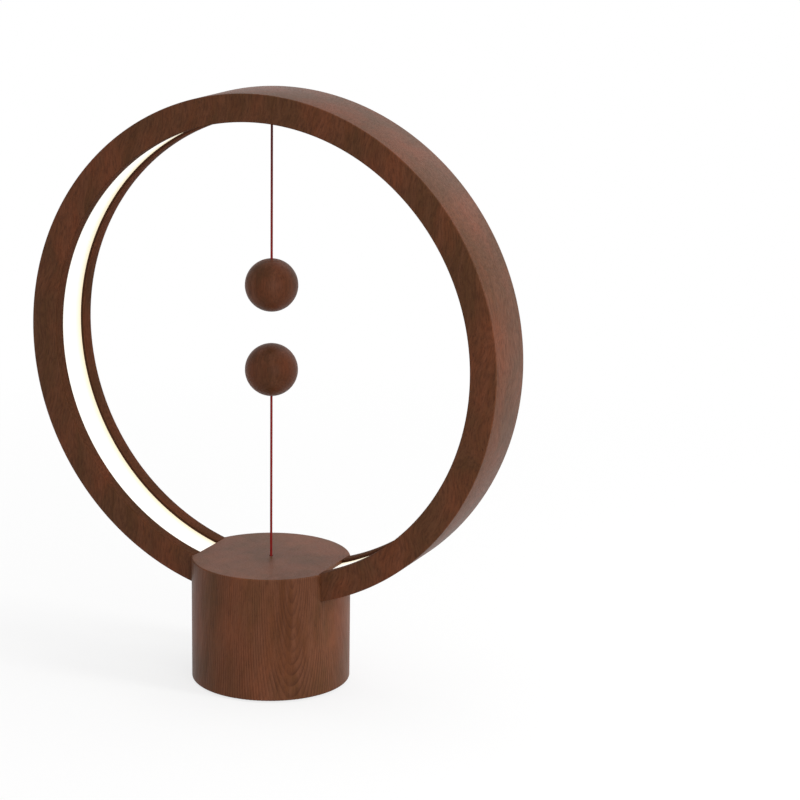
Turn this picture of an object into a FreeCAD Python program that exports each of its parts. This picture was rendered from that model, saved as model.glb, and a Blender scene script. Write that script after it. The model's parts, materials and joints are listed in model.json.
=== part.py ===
import FreeCAD, Part
import math
import os
from FreeCAD import Vector

# A magnetic balance lamp: a lit wooden ring on a round base, with two wooden balls on cords.
# Millimetres, +Z up, the ring in the XZ plane, its front towards -Y.
# The origin is the centre of the foot, on the surface that the lamp stands on.
# The lamp is on: the magnets hold the lower ball up, and its cord holds the pull rod up.

# Ring
ring_outer_d = 230.0
ring_wall = 12.5
ring_depth = 31.0
ring_edge_round = 0.5
ring_sink = 17.5            # how far the ring's lowest point would lie below the base's top
groove_width = 18.0
groove_depth = 6.0
ring_end_gap = 30.0         # between the two ends of the ring, inside the base
fit_gap = 0.1               # between the ring and the base, all round
lay_gap = 0.05              # between fixed pieces that lie on or in each other

# Light band in the groove
diffuser_recess = 1.5
diffuser_thickness = 1.5
strip_width = 8.0
strip_thickness = 0.35
strip_short_of_end = 0.5
chip_length = 3.5
chip_width = 2.8
chip_height = 0.7
chip_pitch = 8.333

# Base
base_d = 72.4
base_height = 57.5
base_wall = 5.0
base_top = 5.0
base_edge_round = 0.6
cord_hole_d = 1.9
foot_reveal = 0.5           # shadow gap between the wood and the surface that the lamp stands on
foot_pad_thickness = 1.2
bottom_plate_thickness = 2.5
bottom_ledge = 2.0          # step in the base's wall that the bottom plate lies against
plate_gap = 0.2

# Cords
cord_d = 1.1
cord_bore_gap = 0.15
bend_gap = 0.05             # between the bend of a cord and the runs on its two sides
knot_d = 3.2

# Balls, each with a pocket bored from the side that its cord leaves by
ball_d = 23.8
upper_ball_drop = 74.2      # from the ring's inside down to the upper ball's centre
ball_spacing = 14.8         # air between the balls while the lamp is on
magnet_d = 8.0
magnet_height = 5.0
magnet_cover = 2.6          # wood between a magnet and the other ball
plug_depth = 9.0

# Anchor of the upper cord
bush_d = 4.0
bush_reach = 1.5            # how far the bush stands proud of the ring's inside
bush_embed = 2.5
anchor_knot_d = 2.4
anchor_pocket_depth = 3.0

# Pull rod
cord_rise = 3.9             # from the base's top up to the bend of the lower cord
fold_past_base = 0.7        # how far outside the base the lower cord folds when it lies on the base
rod_d = 3.0
rod_running_gap = 0.06
rod_top_drop = 8.5          # from the base's top down to the rod's top
rod_tail = 0.7              # rod below its clip
crimp_depth = 4.0
collar_d = 11.0
collar_thickness = 1.5
collar_drop = 4.2           # from the rod's top down to the collar's top
collar_travel = 3.3         # from the collar down to the guide's top
clip_d = 5.0
clip_thickness = 0.8
clip_groove_depth = 0.4
clip_mouth = 1.6
guide_d = 6.0
guide_below_frame = 5.0

# Eyelet in the base's top and return spring under it
eyelet_d = 5.0
eyelet_height = 3.0
eyelet_bore_d = 2.2
eyelet_flange_d = 8.0
eyelet_flange_thickness = 1.0
spring_d = 5.4
spring_wire_d = 0.5
spring_turns = 5

# Micro switch
case_length = 12.8
case_width = 5.8
case_height = 6.2
case_from_rod = 5.2         # from the rod's axis to the case
hinge_from_case_end = 2.5
hinge_above_case = 1.9
hinge_pin_d = 0.8
hinge_running_gap = 0.05
hinge_tube_wall = 0.4
ear_thickness = 1.0
ear_width = 2.0
ear_above_hinge = 0.8
lever_width = 3.0
lever_side_gap = 0.1
lever_thickness = 0.3
lever_under_collar = 1.5
lever_collar_gap = 0.3
button_d = 1.8
button_length = 3.6
button_from_hinge = 3.0
button_running_gap = 0.06
button_lever_gap = 0.1
button_room = 1.0           # free depth under the button
terminal_length = 5.0
terminal_width = 2.0
terminal_thickness = 0.5
terminal_inset = 2.5        # from the case's ends to the middle of its terminals
terminal_slot_gap = 0.3
peg_d = 2.2
peg_inset = 3.2             # from the case's ends to the pegs
peg_height = 3.1            # from the case's underside to the pegs
switch_wall_thickness = 2.0
switch_wall_height = 5.8

# Inner frame
frame_thickness = 3.0
frame_below_ring = 7.0      # from the ring's lowest point down to the frame's top
pillar_d = 6.4
pillar_wall_gap = 2.0       # between the pillars and the base's wall
pillar_angles = (-90.0, 30.0, 150.0)
saddle_width = 22.0
saddle_length = 11.5
post_d = 4.4
post_side_inset = 4.0       # from the board's sides to the middle of its posts
post_front_inset = 3.0      # from the board's front edge to the middle of its posts
lead_slot_x = 11.0
lead_slot_width = 3.0
lead_slot_length = 8.0

# Screws, all driven upwards
screw_gap = 0.05
pan_head_d = 4.4
pan_head_height = 1.6
drive_slot_width = 0.6
drive_slot_depth = 0.8
hole_spare_depth = 0.5
ring_screw_d = 2.5
ring_screw_spread = 14.0
ring_screw_inset = 6.0      # from the ring's ends to its screws
ring_screw_bite = 5.5
board_screw_d = 2.0
board_screw_bite = 6.0
bottom_screw_d = 2.5
bottom_screw_bite = 8.0
ballast_screw_d = 4.0
ballast_screw_bite = 6.0

# Circuit board, power socket and ballast
board_thickness = 1.6
board_side_gap = 13.2       # between the planes of the board's sides and the widest of the base's wall
board_front = 11.0          # from the rod's axis to the board's front edge
board_back_gap = 8.2        # from the board's back edge to the base's wall
board_drop = 12.4           # from the frame's underside down to the board's top
tongue_width = 11.0
tongue_inset = 2.7          # from the base's outside back to the end of the board's tongue
can_d = 5.0
can_height = 6.0
can_from_post = (7.8, 1.5)  # from the post on the +X side, towards the middle and the back
board_blocks = (            # x, y, length, width and height of each part on the board
    (-11.0, 1.0, 5.0, 4.0, 1.5),
    (-11.0, 12.0, 7.0, 7.0, 3.2),
    (10.5, 12.0, 6.0, 3.2, 1.8),
    (10.5, 17.5, 3.2, 1.6, 1.2),
    (-4.5, -7.5, 3.2, 1.6, 1.2),
)
socket_width = 8.94
socket_height = 3.2
socket_wall = 0.35
socket_corner_r = 1.4
socket_length = 7.6
socket_inset = 0.6
socket_floor = 1.5
contact_width = 6.6
contact_thickness = 0.7
contact_inset = 0.7
surround_width = 14.0
surround_height = 8.4
surround_corner_r = 1.8
surround_inset = 0.3
ballast_pillar_gap = 1.8
ballast_clearance = 0.6

# Leads, from the end that is soldered to the strip or to a terminal down to the board.
# The last number of each point is its height over the board.
lead_d = 0.8
led_lead_y = (-2.0, 2.0)
led_lead_route = ((17.5, 31.25), (14.2, 30.9), (11.4, 28.4), (11.0, 23.9), (10.7, 16.4), (11.1, 8.4),
                  (10.8, 0.1))
switch_lead_routes = (
    ((0.0, 7.7, 10.4), (0.6, 7.9, 7.2), (-0.3, 8.6, 3.8), (0.2, 8.8, 0.1)),
    ((0.0, 15.5, 10.4), (-0.6, 15.3, 7.0), (0.4, 14.7, 3.6), (0.1, 14.6, 0.1)),
)

# Worked out from the sizes above
ring_outer_r = ring_outer_d / 2
ring_inner_r = ring_outer_r - ring_wall
groove_floor_r = ring_inner_r + groove_depth
diffuser_inner_r = ring_inner_r + diffuser_recess
strip_outer_r = groove_floor_r - lay_gap
strip_inner_r = strip_outer_r - strip_thickness
ring_bottom_z = base_height - ring_sink
ring_z = ring_bottom_z + ring_outer_r
shoulder_x = math.sqrt(ring_inner_r ** 2 - (ring_z - base_height) ** 2)
ceiling_z = base_height - base_top
tenon_inner_r = math.hypot(shoulder_x, ring_z - ceiling_z) + fit_gap
tenon_end_x = ring_end_gap / 2
base_r = base_d / 2
cavity_r = base_r - base_wall
plate_z0 = foot_pad_thickness
plate_z1 = plate_z0 + bottom_plate_thickness
plate_r = cavity_r + bottom_ledge - plate_gap
screw_face_z = plate_z0 + lay_gap
cord_r = cord_d / 2
bore_r = cord_r + cord_bore_gap
bend_reach = cord_r + bend_gap
ball_r = ball_d / 2
pocket_r = magnet_d / 2 + lay_gap
plug_offset = ball_r - plug_depth
knot_offset = plug_offset - lay_gap - knot_d / 2
upper_ball_z = ring_z + ring_inner_r - upper_ball_drop
lower_ball_z = upper_ball_z - ball_d - ball_spacing
bush_z0 = ring_z + ring_inner_r - bush_reach
bush_z1 = ring_z + groove_floor_r + bush_embed
anchor_knot_z = bush_z1 - anchor_pocket_depth + anchor_knot_d / 2
upper_bend_z = bush_z0 - bend_reach
lower_bend_z = base_height + cord_rise
fold_z = lower_bend_z + base_r + fold_past_base
frame_z1 = ring_bottom_z - frame_below_ring
frame_z0 = frame_z1 - frame_thickness
rod_r = rod_d / 2
rod_neck_r = rod_r - clip_groove_depth
rod_z1 = base_height - rod_top_drop
collar_z1 = rod_z1 - collar_drop
collar_z0 = collar_z1 - collar_thickness
guide_z0 = frame_z0 - guide_below_frame
guide_z1 = collar_z0 - collar_travel
clip_z1 = guide_z0 - lay_gap
clip_z0 = clip_z1 - clip_thickness
rod_z0 = clip_z0 - rod_tail
flange_z1 = ceiling_z - lay_gap
flange_z0 = flange_z1 - eyelet_flange_thickness
case_x = case_width / 2
case_y0 = case_from_rod
case_y1 = case_y0 + case_length
case_z0 = frame_z1 + lay_gap
case_z1 = case_z0 + case_height
peg_places = (case_y0 + peg_inset, case_y1 - peg_inset)
peg_z = case_z0 + peg_height
terminal_places = (case_y0 + terminal_inset, case_y1 - terminal_inset)
hinge_y = case_y1 - hinge_from_case_end
hinge_z = case_z1 + hinge_above_case
ear_x0 = lever_width / 2 + lever_side_gap
ear_x1 = ear_x0 + ear_thickness
lever_end_y = collar_d / 2 - lever_under_collar
lever_tip_z = collar_z0 - lever_collar_gap - lever_thickness / 2
lever_slope = (lever_tip_z - hinge_z) / (hinge_y - lever_end_y)
button_y = hinge_y - button_from_hinge
button_z1 = hinge_z + button_from_hinge * lever_slope - lever_thickness / 2 - button_lever_gap
button_z0 = button_z1 - button_length
board_z1 = frame_z0 - board_drop
board_z0 = board_z1 - board_thickness
board_half_width = cavity_r - board_side_gap
board_back = cavity_r - board_back_gap
tongue_y = base_r - tongue_inset
post_x = board_half_width - post_side_inset
post_y = post_front_inset - board_front
can_x = post_x - can_from_post[0]
can_y = post_y + can_from_post[1]
socket_z = board_z1 + lay_gap + socket_height / 2
socket_y1 = base_r - socket_inset
socket_y0 = socket_y1 - socket_length
ballast_z0 = plate_z1 + lay_gap
ballast_z1 = board_z0 - lay_gap - pan_head_height - ballast_clearance
ring_screw_x = tenon_end_x + ring_screw_inset
ring_screw_tip_z = ring_z - math.sqrt(ring_outer_r ** 2 - ring_screw_x ** 2) + ring_screw_bite
pillar_r = pillar_d / 2
pillar_circle_r = cavity_r - pillar_wall_gap - pillar_r
ballast_r = pillar_circle_r - pillar_r - ballast_pillar_gap
pillar_places = [(pillar_circle_r * math.cos(math.radians(a)),
                  pillar_circle_r * math.sin(math.radians(a))) for a in pillar_angles]
ring_screw_places = [(sx * ring_screw_x, sy * ring_screw_spread / 2) for sx in (-1, 1) for sy in (-1, 1)]
post_places = [(-post_x, post_y), (post_x, post_y)]


def cylinder(r, z0, z1, x=0.0, y=0.0):
    return Part.makeCylinder(r, z1 - z0, Vector(x, y, z0))


def tube(r_out, r_in, z0, z1):
    return cylinder(r_out, z0, z1).cut(cylinder(r_in, z0 - 1, z1 + 1))


def bar_along_x(r, x0, x1, y, z):
    return Part.makeCylinder(r, x1 - x0, Vector(x0, y, z), Vector(1, 0, 0))


def block(x0, x1, y0, y1, z0, z1):
    return Part.makeBox(x1 - x0, y1 - y0, z1 - z0, Vector(x0, y0, z0))


def sphere(r, z):
    return Part.makeSphere(r, Vector(0, 0, z))


def join(shapes):
    return shapes[0].multiFuse(shapes[1:]).removeSplitter()


def group(shapes):
    return Part.makeCompound(shapes)


def rounded(solid, radius, pick):
    return solid.makeFillet(radius, [edge for edge in solid.Edges if pick(edge)])


def is_circle(edge):
    return isinstance(edge.Curve, Part.Circle)


def runs_along_y(edge):
    return abs(edge.Vertexes[0].Y - edge.Vertexes[-1].Y) > lay_gap


def rounded_bar(width, height, corner_r, y0, y1):
    """A bar along Y at the power socket's height, with its four long edges rounded."""
    bar = block(-width / 2, width / 2, y0, y1, socket_z - height / 2, socket_z + height / 2)
    return rounded(bar, corner_r, runs_along_y)


def ring_disc(r, depth):
    return Part.makeCylinder(r, depth, Vector(0, -depth / 2, ring_z), Vector(0, 1, 0))


def hoop(r_in, r_out, depth):
    return ring_disc(r_out, depth).cut(ring_disc(r_in, depth + 2))


def lower_middle(half_width):
    """All of the ring's lower half that lies within half_width of the middle."""
    return block(-half_width, half_width, -ring_depth, ring_depth, 0, ring_z)


def bush_hole(z1):
    return cylinder(bush_d / 2 + lay_gap, ring_z + ring_inner_r, z1)


def ring_hoop():
    full = rounded(hoop(ring_inner_r, ring_outer_r, ring_depth), ring_edge_round, is_circle)
    full = full.cut(lower_middle(shoulder_x))
    tenons = hoop(tenon_inner_r, ring_outer_r, ring_depth).common(lower_middle(shoulder_x))
    tenons = tenons.cut(lower_middle(tenon_end_x))
    wood = join([full] + tenons.Solids)
    wood = wood.cut(ring_disc(groove_floor_r, groove_width))
    return wood.cut(bush_hole(bush_z1 + lay_gap)).cut(ring_screw_holes())


def ring_diffuser():
    band = hoop(diffuser_inner_r, diffuser_inner_r + diffuser_thickness, groove_width - 2 * lay_gap)
    return band.cut(lower_middle(shoulder_x + lay_gap)).cut(bush_hole(bush_z1))


def led_strip():
    strip = hoop(strip_inner_r, strip_outer_r, strip_width)
    return strip.cut(lower_middle(tenon_end_x + strip_short_of_end)).cut(bush_hole(bush_z1))


def led_chips():
    """A row of chips from each side of the bush down to where the ring enters the base."""
    top_z = ring_z + strip_inner_r - lay_gap
    chip = block(-chip_length / 2, chip_length / 2, -chip_width / 2, chip_width / 2,
                 top_z - chip_height, top_z)
    step = math.degrees(chip_pitch / strip_inner_r)
    end_angle = 180 - math.degrees(math.asin(shoulder_x / strip_inner_r))
    chips = []
    for i in range(int(end_angle / step)):
        for side in (-1, 1):
            placed = chip.copy()
            placed.rotate(Vector(0, 0, ring_z), Vector(0, 1, 0), side * (i + 0.5) * step)
            chips.append(placed)
    return group(chips)


def anchor_bush():
    bush = cylinder(bush_d / 2, bush_z0, bush_z1)
    pocket = cylinder(anchor_knot_d / 2 + lay_gap, bush_z1 - anchor_pocket_depth, bush_z1 + 1)
    return bush.cut(cylinder(bore_r, bush_z0 - 1, bush_z1)).cut(pocket)


def ring_passage():
    """The room in the base for the ring: its full section outside the shoulders, its ends inside them."""
    depth = ring_depth + 2 * fit_gap
    full = hoop(ring_inner_r - fit_gap, ring_outer_r + fit_gap, depth).cut(lower_middle(shoulder_x - fit_gap))
    ends = hoop(tenon_inner_r - fit_gap, ring_outer_r + fit_gap, depth).common(lower_middle(shoulder_x))
    return full.fuse(ends)


def base_body():
    wood = rounded(cylinder(base_r, foot_reveal, base_height), base_edge_round, is_circle)
    wood = wood.cut(cylinder(cavity_r, 0, ceiling_z))
    wood = wood.cut(cylinder(cavity_r + bottom_ledge, 0, plate_z1 + lay_gap))
    wood = wood.cut(cylinder(cord_hole_d / 2, 0, base_height + 1))
    wood = wood.cut(cylinder(eyelet_d / 2 + lay_gap, 0, ceiling_z + eyelet_height + lay_gap))
    wood = wood.cut(rounded_bar(surround_width, surround_height, surround_corner_r, 0, base_r + 1))
    return wood.cut(ring_passage())


def cord_eyelet():
    flange = cylinder(eyelet_flange_d / 2, flange_z0, flange_z1)
    shank = cylinder(eyelet_d / 2, flange_z0, ceiling_z + eyelet_height)
    return join([flange, shank]).cut(cylinder(eyelet_bore_d / 2, 0, base_height))


def drive_slot(x, y, head_r, face_z):
    return block(x - head_r, x + head_r, y - drive_slot_width / 2, y + drive_slot_width / 2,
                 face_z, face_z + drive_slot_depth)


def pan_screw(x, y, seat_z, tip_z, shank_d):
    face_z = seat_z - pan_head_height
    head = cylinder(pan_head_d / 2, face_z, seat_z, x, y).cut(drive_slot(x, y, pan_head_d, face_z))
    return join([head, cylinder(shank_d / 2, seat_z, tip_z, x, y)])


def flat_screw(x, y, tip_z, shank_d, grow=0.0):
    """A screw countersunk in the bottom plate, its head twice as wide as its shank."""
    shank_r = shank_d / 2 + grow
    cone = Part.makeCone(shank_d + grow, shank_r, shank_d / 2, Vector(x, y, screw_face_z))
    return join([cone, cylinder(shank_r, screw_face_z + shank_d / 2, tip_z, x, y)])


def slotted_flat_screw(x, y, bite, shank_d):
    screw = flat_screw(x, y, plate_z1 + bite, shank_d)
    return screw.cut(drive_slot(x, y, 2 * shank_d, screw_face_z))


def flat_screw_hole(x, y, bite, shank_d):
    mouth = cylinder(shank_d + screw_gap, 0, screw_face_z, x, y)
    return join([mouth, flat_screw(x, y, plate_z1 + bite + hole_spare_depth, shank_d, screw_gap)])


def ring_screws():
    seat_z = frame_z0 - lay_gap
    return group([pan_screw(x, y, seat_z, ring_screw_tip_z, ring_screw_d) for x, y in ring_screw_places])


def ring_screw_holes():
    hole_r = ring_screw_d / 2 + screw_gap
    tip_z = ring_screw_tip_z + hole_spare_depth
    return group([cylinder(hole_r, frame_z0 - 1, tip_z, x, y) for x, y in ring_screw_places])


def board_screws():
    seat_z = board_z0 - lay_gap
    tip_z = board_z1 + board_screw_bite
    return group([pan_screw(x, y, seat_z, tip_z, board_screw_d) for x, y in post_places])


def board_screw_holes():
    hole_r = board_screw_d / 2 + screw_gap
    tip_z = board_z1 + board_screw_bite + hole_spare_depth
    return group([cylinder(hole_r, board_z0 - 1, tip_z, x, y) for x, y in post_places])


def bottom_screws():
    return group([slotted_flat_screw(x, y, bottom_screw_bite, bottom_screw_d) for x, y in pillar_places])


def bottom_screw_holes():
    return group([flat_screw_hole(x, y, bottom_screw_bite, bottom_screw_d) for x, y in pillar_places])


def bottom_plate():
    plate = cylinder(plate_r, plate_z0, plate_z1).cut(bottom_screw_holes())
    return plate.cut(flat_screw_hole(0, 0, ballast_screw_bite, ballast_screw_d))


def foot_pad():
    return cylinder(plate_r, 0, plate_z0)


def ballast_weight():
    weight = cylinder(ballast_r, ballast_z0, ballast_z1)
    return weight.cut(flat_screw_hole(0, 0, ballast_screw_bite, ballast_screw_d))


def ballast_screw():
    return slotted_flat_screw(0, 0, ballast_screw_bite, ballast_screw_d)


def saddle(side):
    """A block that fills the space between the frame and the underside of one end of the ring."""
    x0, x1 = sorted((side * tenon_end_x, side * (tenon_end_x + saddle_length)))
    stock = block(x0, x1, -saddle_width / 2, saddle_width / 2, frame_z0, ring_z)
    stock = stock.common(cylinder(cavity_r - plate_gap, frame_z0, ring_z))
    return stock.cut(ring_disc(ring_outer_r + lay_gap, 2 * saddle_width))


def switch_holder():
    """The wall that the micro switch lies against, with the two pegs that it is pushed onto."""
    wall_x1 = -case_x - lay_gap
    wall_x0 = wall_x1 - switch_wall_thickness
    wall = block(wall_x0, wall_x1, case_y0, case_y1, frame_z0, frame_z1 + switch_wall_height)
    return [wall] + [bar_along_x(peg_d / 2, wall_x0, case_x, y, peg_z) for y in peg_places]


def inner_frame():
    pieces = [cylinder(cavity_r - plate_gap, frame_z0, frame_z1), cylinder(guide_d / 2, guide_z0, guide_z1)]
    pieces += [cylinder(pillar_r, plate_z1 + lay_gap, frame_z1, x, y) for x, y in pillar_places]
    pieces += [cylinder(post_d / 2, board_z1 + lay_gap, frame_z1, x, y) for x, y in post_places]
    pieces += [saddle(-1), saddle(1)] + switch_holder()
    frame = join(pieces)
    frame = frame.cut(cylinder(rod_r + rod_running_gap, guide_z0 - 1, guide_z1 + 1))
    frame = frame.cut(ring_screw_holes()).cut(board_screw_holes()).cut(bottom_screw_holes())
    slot_x0 = lead_slot_x - lead_slot_width / 2
    frame = frame.cut(block(slot_x0, slot_x0 + lead_slot_width, -lead_slot_length / 2, lead_slot_length / 2,
                            frame_z0 - 1, frame_z1 + 1))
    return frame.cut(group([terminal(y, terminal_slot_gap) for y in terminal_places]))


def terminal(y, grow=0.0):
    half_x = terminal_thickness / 2 + grow
    half_y = terminal_width / 2 + grow
    return block(-half_x, half_x, y - half_y, y + half_y, case_z0 - terminal_length, case_z0)


def switch_terminals():
    return group([terminal(y) for y in terminal_places])


def switch_case():
    case = block(-case_x, case_x, case_y0, case_y1, case_z0, case_z1)
    ears = [block(x0, x0 + ear_thickness, hinge_y - ear_width / 2, hinge_y + ear_width / 2,
                  case_z1, hinge_z + ear_above_hinge) for x0 in (-ear_x1, ear_x0)]
    case = join([case] + ears)
    for y in peg_places:
        case = case.cut(bar_along_x(peg_d / 2 + lay_gap, -case_width, case_width, y, peg_z))
    case = case.cut(bar_along_x(hinge_pin_d / 2 + lay_gap, -case_width, case_width, hinge_y, hinge_z))
    button_bore = cylinder(button_d / 2 + button_running_gap, button_z0 - button_room, case_z1 + 1, 0, button_y)
    return case.cut(button_bore)


def switch_pin():
    return bar_along_x(hinge_pin_d / 2, -ear_x1, ear_x1, hinge_y, hinge_z)


def switch_lever():
    bore_radius = hinge_pin_d / 2 + hinge_running_gap
    half_x = lever_width / 2
    plate = block(-half_x, half_x, lever_end_y, hinge_y, hinge_z - lever_thickness / 2,
                  hinge_z + lever_thickness / 2)
    barrel = bar_along_x(bore_radius + hinge_tube_wall, -half_x, half_x, hinge_y, hinge_z)
    lever = join([plate, barrel]).cut(bar_along_x(bore_radius, -lever_width, lever_width, hinge_y, hinge_z))
    lever.rotate(Vector(0, hinge_y, hinge_z), Vector(1, 0, 0), -math.degrees(math.atan(lever_slope)))
    return lever


def switch_button():
    return cylinder(button_d / 2, button_z0, button_z1, 0, button_y)


def pull_rod():
    rod = join([cylinder(rod_r, rod_z0, rod_z1), cylinder(collar_d / 2, collar_z0, collar_z1)])
    rod = rod.cut(cylinder(cord_r + lay_gap, rod_z1 - crimp_depth - lay_gap, rod_z1 + 1))
    return rod.cut(tube(rod_d, rod_neck_r, clip_z0 - lay_gap, clip_z1 + lay_gap))


def rod_clip():
    clip = tube(clip_d / 2, rod_neck_r + lay_gap, clip_z0, clip_z1)
    return clip.cut(block(-clip_mouth / 2, clip_mouth / 2, 0, clip_d, clip_z0, clip_z1))


def return_spring():
    mean_r = (spring_d - spring_wire_d) / 2
    z0 = collar_z1 + lay_gap + spring_wire_d / 2
    z1 = flange_z0 - lay_gap - spring_wire_d / 2
    pitch = (z1 - z0) / spring_turns
    helix = Part.makeHelix(pitch, z1 - z0, mean_r)
    helix.translate(Vector(0, 0, z0))
    ahead = Vector(0, 2 * math.pi * mean_r, pitch)
    section = Part.Wire(Part.makeCircle(spring_wire_d / 2, Vector(mean_r, 0, z0), ahead))
    return Part.Wire(helix.Edges).makePipeShell([section], True, True)


def circuit_board():
    half_tongue = tongue_width / 2
    board = join([block(-board_half_width, board_half_width, -board_front, board_back, board_z0, board_z1),
                  block(-half_tongue, half_tongue, 0, tongue_y, board_z0, board_z1)])
    return board.cut(board_screw_holes())


def board_parts():
    z0 = board_z1 + lay_gap
    parts = [block(x - a / 2, x + a / 2, y - b / 2, y + b / 2, z0, z0 + h) for x, y, a, b, h in board_blocks]
    return group(parts + [cylinder(can_d / 2, z0, z0 + can_height, can_x, can_y)])


def power_socket():
    """A small socket shell, open at the back of the base, with its contact tongue inside."""
    shell = rounded_bar(socket_width, socket_height, socket_corner_r, socket_y0, socket_y1)
    inside = rounded_bar(socket_width - 2 * socket_wall, socket_height - 2 * socket_wall,
                         socket_corner_r - socket_wall, socket_y0 + socket_floor, socket_y1 + 1)
    contacts = block(-contact_width / 2, contact_width / 2, socket_y0, socket_y1 - contact_inset,
                     socket_z - contact_thickness / 2, socket_z + contact_thickness / 2)
    return join([shell.cut(inside), contacts])


def inlet_surround():
    """The insert in the base's wall that frames the socket and holds the end of the board's tongue."""
    grow = 2 * lay_gap
    insert = rounded_bar(surround_width - grow, surround_height - grow, surround_corner_r - lay_gap,
                         cavity_r - 1, base_r + 1)
    insert = insert.common(tube(base_r - surround_inset, cavity_r, 0, base_height))
    insert = insert.cut(rounded_bar(socket_width + grow, socket_height + grow, socket_corner_r + lay_gap,
                                    0, base_r + 1))
    half_tongue = tongue_width / 2 + lay_gap
    return insert.cut(block(-half_tongue, half_tongue, 0, tongue_y + lay_gap,
                            board_z0 - lay_gap, board_z1 + 2 * lay_gap))


def swept_lead(points):
    """A round lead along straight runs joined by tangent arcs, with its volume compared."""
    points = [Vector(*p) for p in points]
    edges, start, radii = [], points[0], []
    for before, corner, after in zip(points, points[1:], points[2:]):
        into = (corner - before).normalize()
        out = (after - corner).normalize()
        half_turn = into.getAngle(out) / 2
        cut = 0.45 * min((corner - before).Length, (after - corner).Length)
        radius = cut / math.tan(half_turn)
        inwards = (out - into).normalize()
        middle = corner + inwards * (radius / math.cos(half_turn) - radius)
        edges.append(Part.LineSegment(start, corner - into * cut).toShape())
        edges.append(Part.Arc(corner - into * cut, middle, corner + out * cut).toShape())
        start = corner + out * cut
        radii.append(round(radius, 1))
    edges.append(Part.LineSegment(start, points[-1]).toShape())
    path = Part.Wire(edges)
    section = Part.Wire(Part.makeCircle(lead_d / 2, points[0], points[1] - points[0]))
    lead = path.makePipeShell([section], True, False)
    share = lead.Volume / (math.pi * lead_d ** 2 / 4 * path.Length)
    print("lead radii", radii, "volume share %.4f" % share)
    return lead


def led_leads():
    return group([swept_lead([(x, y, board_z1 + rise) for x, rise in led_lead_route]) for y in led_lead_y])


def switch_leads():
    return group([swept_lead([(x, y, board_z1 + rise) for x, y, rise in route]) for route in switch_lead_routes])


def cord_run(z0, z1):
    return cylinder(cord_r, z0, z1)


def along(r, ball_z, side, near, far):
    """A cylinder on the balls' axis, between two offsets from a ball's centre towards its cord's side."""
    low, high = sorted((ball_z + side * near, ball_z + side * far))
    return cylinder(r, low, high)


def ball_wood(ball_z, side):
    pocket = along(pocket_r, ball_z, side, magnet_cover - ball_r, ball_r + 1)
    return sphere(ball_r, ball_z).cut(pocket)


def ball_magnet(ball_z, side):
    seat = magnet_cover - ball_r + lay_gap
    return along(magnet_d / 2, ball_z, side, seat, seat + magnet_height)


def ball_plug(ball_z, side):
    stock = along(pocket_r - lay_gap, ball_z, side, plug_offset, ball_r)
    return stock.common(sphere(ball_r, ball_z)).cut(along(bore_r, ball_z, side, 0, ball_r + 1))


def upper_cord_anchor():
    return join([cord_run(upper_bend_z + bend_reach, anchor_knot_z), sphere(anchor_knot_d / 2, anchor_knot_z)])


def upper_cord():
    knot_z = upper_ball_z + knot_offset
    return join([cord_run(knot_z, upper_bend_z - bend_reach), sphere(knot_d / 2, knot_z)])


def lower_cord_inner():
    return cord_run(rod_z1 - crimp_depth, lower_bend_z - bend_reach)


def lower_cord_run():
    return cord_run(lower_bend_z + bend_reach, fold_z - bend_reach)


def lower_cord_end():
    knot_z = lower_ball_z - knot_offset
    return join([sphere(cord_r, fold_z), cord_run(fold_z, knot_z), sphere(knot_d / 2, knot_z)])


def save(name, shape):
    solids = shape.Solids
    out = solids[0] if len(solids) == 1 else Part.makeCompound(solids)
    if not out.isValid():
        print("not valid:", name)
    out.exportStep("parts/%s.step" % name)
    print("%-18s %3d solids %10.1f mm3" % (name, len(solids), sum(s.Volume for s in solids)))


os.makedirs("parts", exist_ok=True)

save("base_body", base_body())
save("ring_hoop", ring_hoop())
save("ring_diffuser", ring_diffuser())
save("led_strip", led_strip())
save("led_chips", led_chips())
save("led_leads", led_leads())
save("anchor_bush", anchor_bush())
save("upper_cord_anchor", upper_cord_anchor())
save("cord_eyelet", cord_eyelet())
save("inner_frame", inner_frame())
save("ring_screws", ring_screws())
save("switch_case", switch_case())
save("switch_pin", switch_pin())
save("switch_terminals", switch_terminals())
save("switch_leads", switch_leads())
save("circuit_board", circuit_board())
save("board_parts", board_parts())
save("board_screws", board_screws())
save("power_socket", power_socket())
save("inlet_surround", inlet_surround())
save("ballast_weight", ballast_weight())
save("ballast_screw", ballast_screw())
save("bottom_plate", bottom_plate())
save("bottom_screws", bottom_screws())
save("foot_pad", foot_pad())

save("switch_lever", switch_lever())
save("switch_button", switch_button())

save("pull_rod", pull_rod())
save("rod_clip", rod_clip())
save("return_spring", return_spring())
save("lower_cord_inner", lower_cord_inner())
save("lower_cord_bend", sphere(cord_r, lower_bend_z))
save("lower_cord_run", lower_cord_run())
save("lower_cord_end", lower_cord_end())
save("lower_ball", ball_wood(lower_ball_z, -1))
save("lower_magnet", ball_magnet(lower_ball_z, -1))
save("lower_plug", ball_plug(lower_ball_z, -1))

save("upper_cord_bend", sphere(cord_r, upper_bend_z))
save("upper_cord", upper_cord())
save("upper_ball", ball_wood(upper_ball_z, 1))
save("upper_magnet", ball_magnet(upper_ball_z, 1))
save("upper_plug", ball_plug(upper_ball_z, 1))
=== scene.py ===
import json
import math

import bmesh
import bpy
from mathutils import Matrix, Vector


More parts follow.
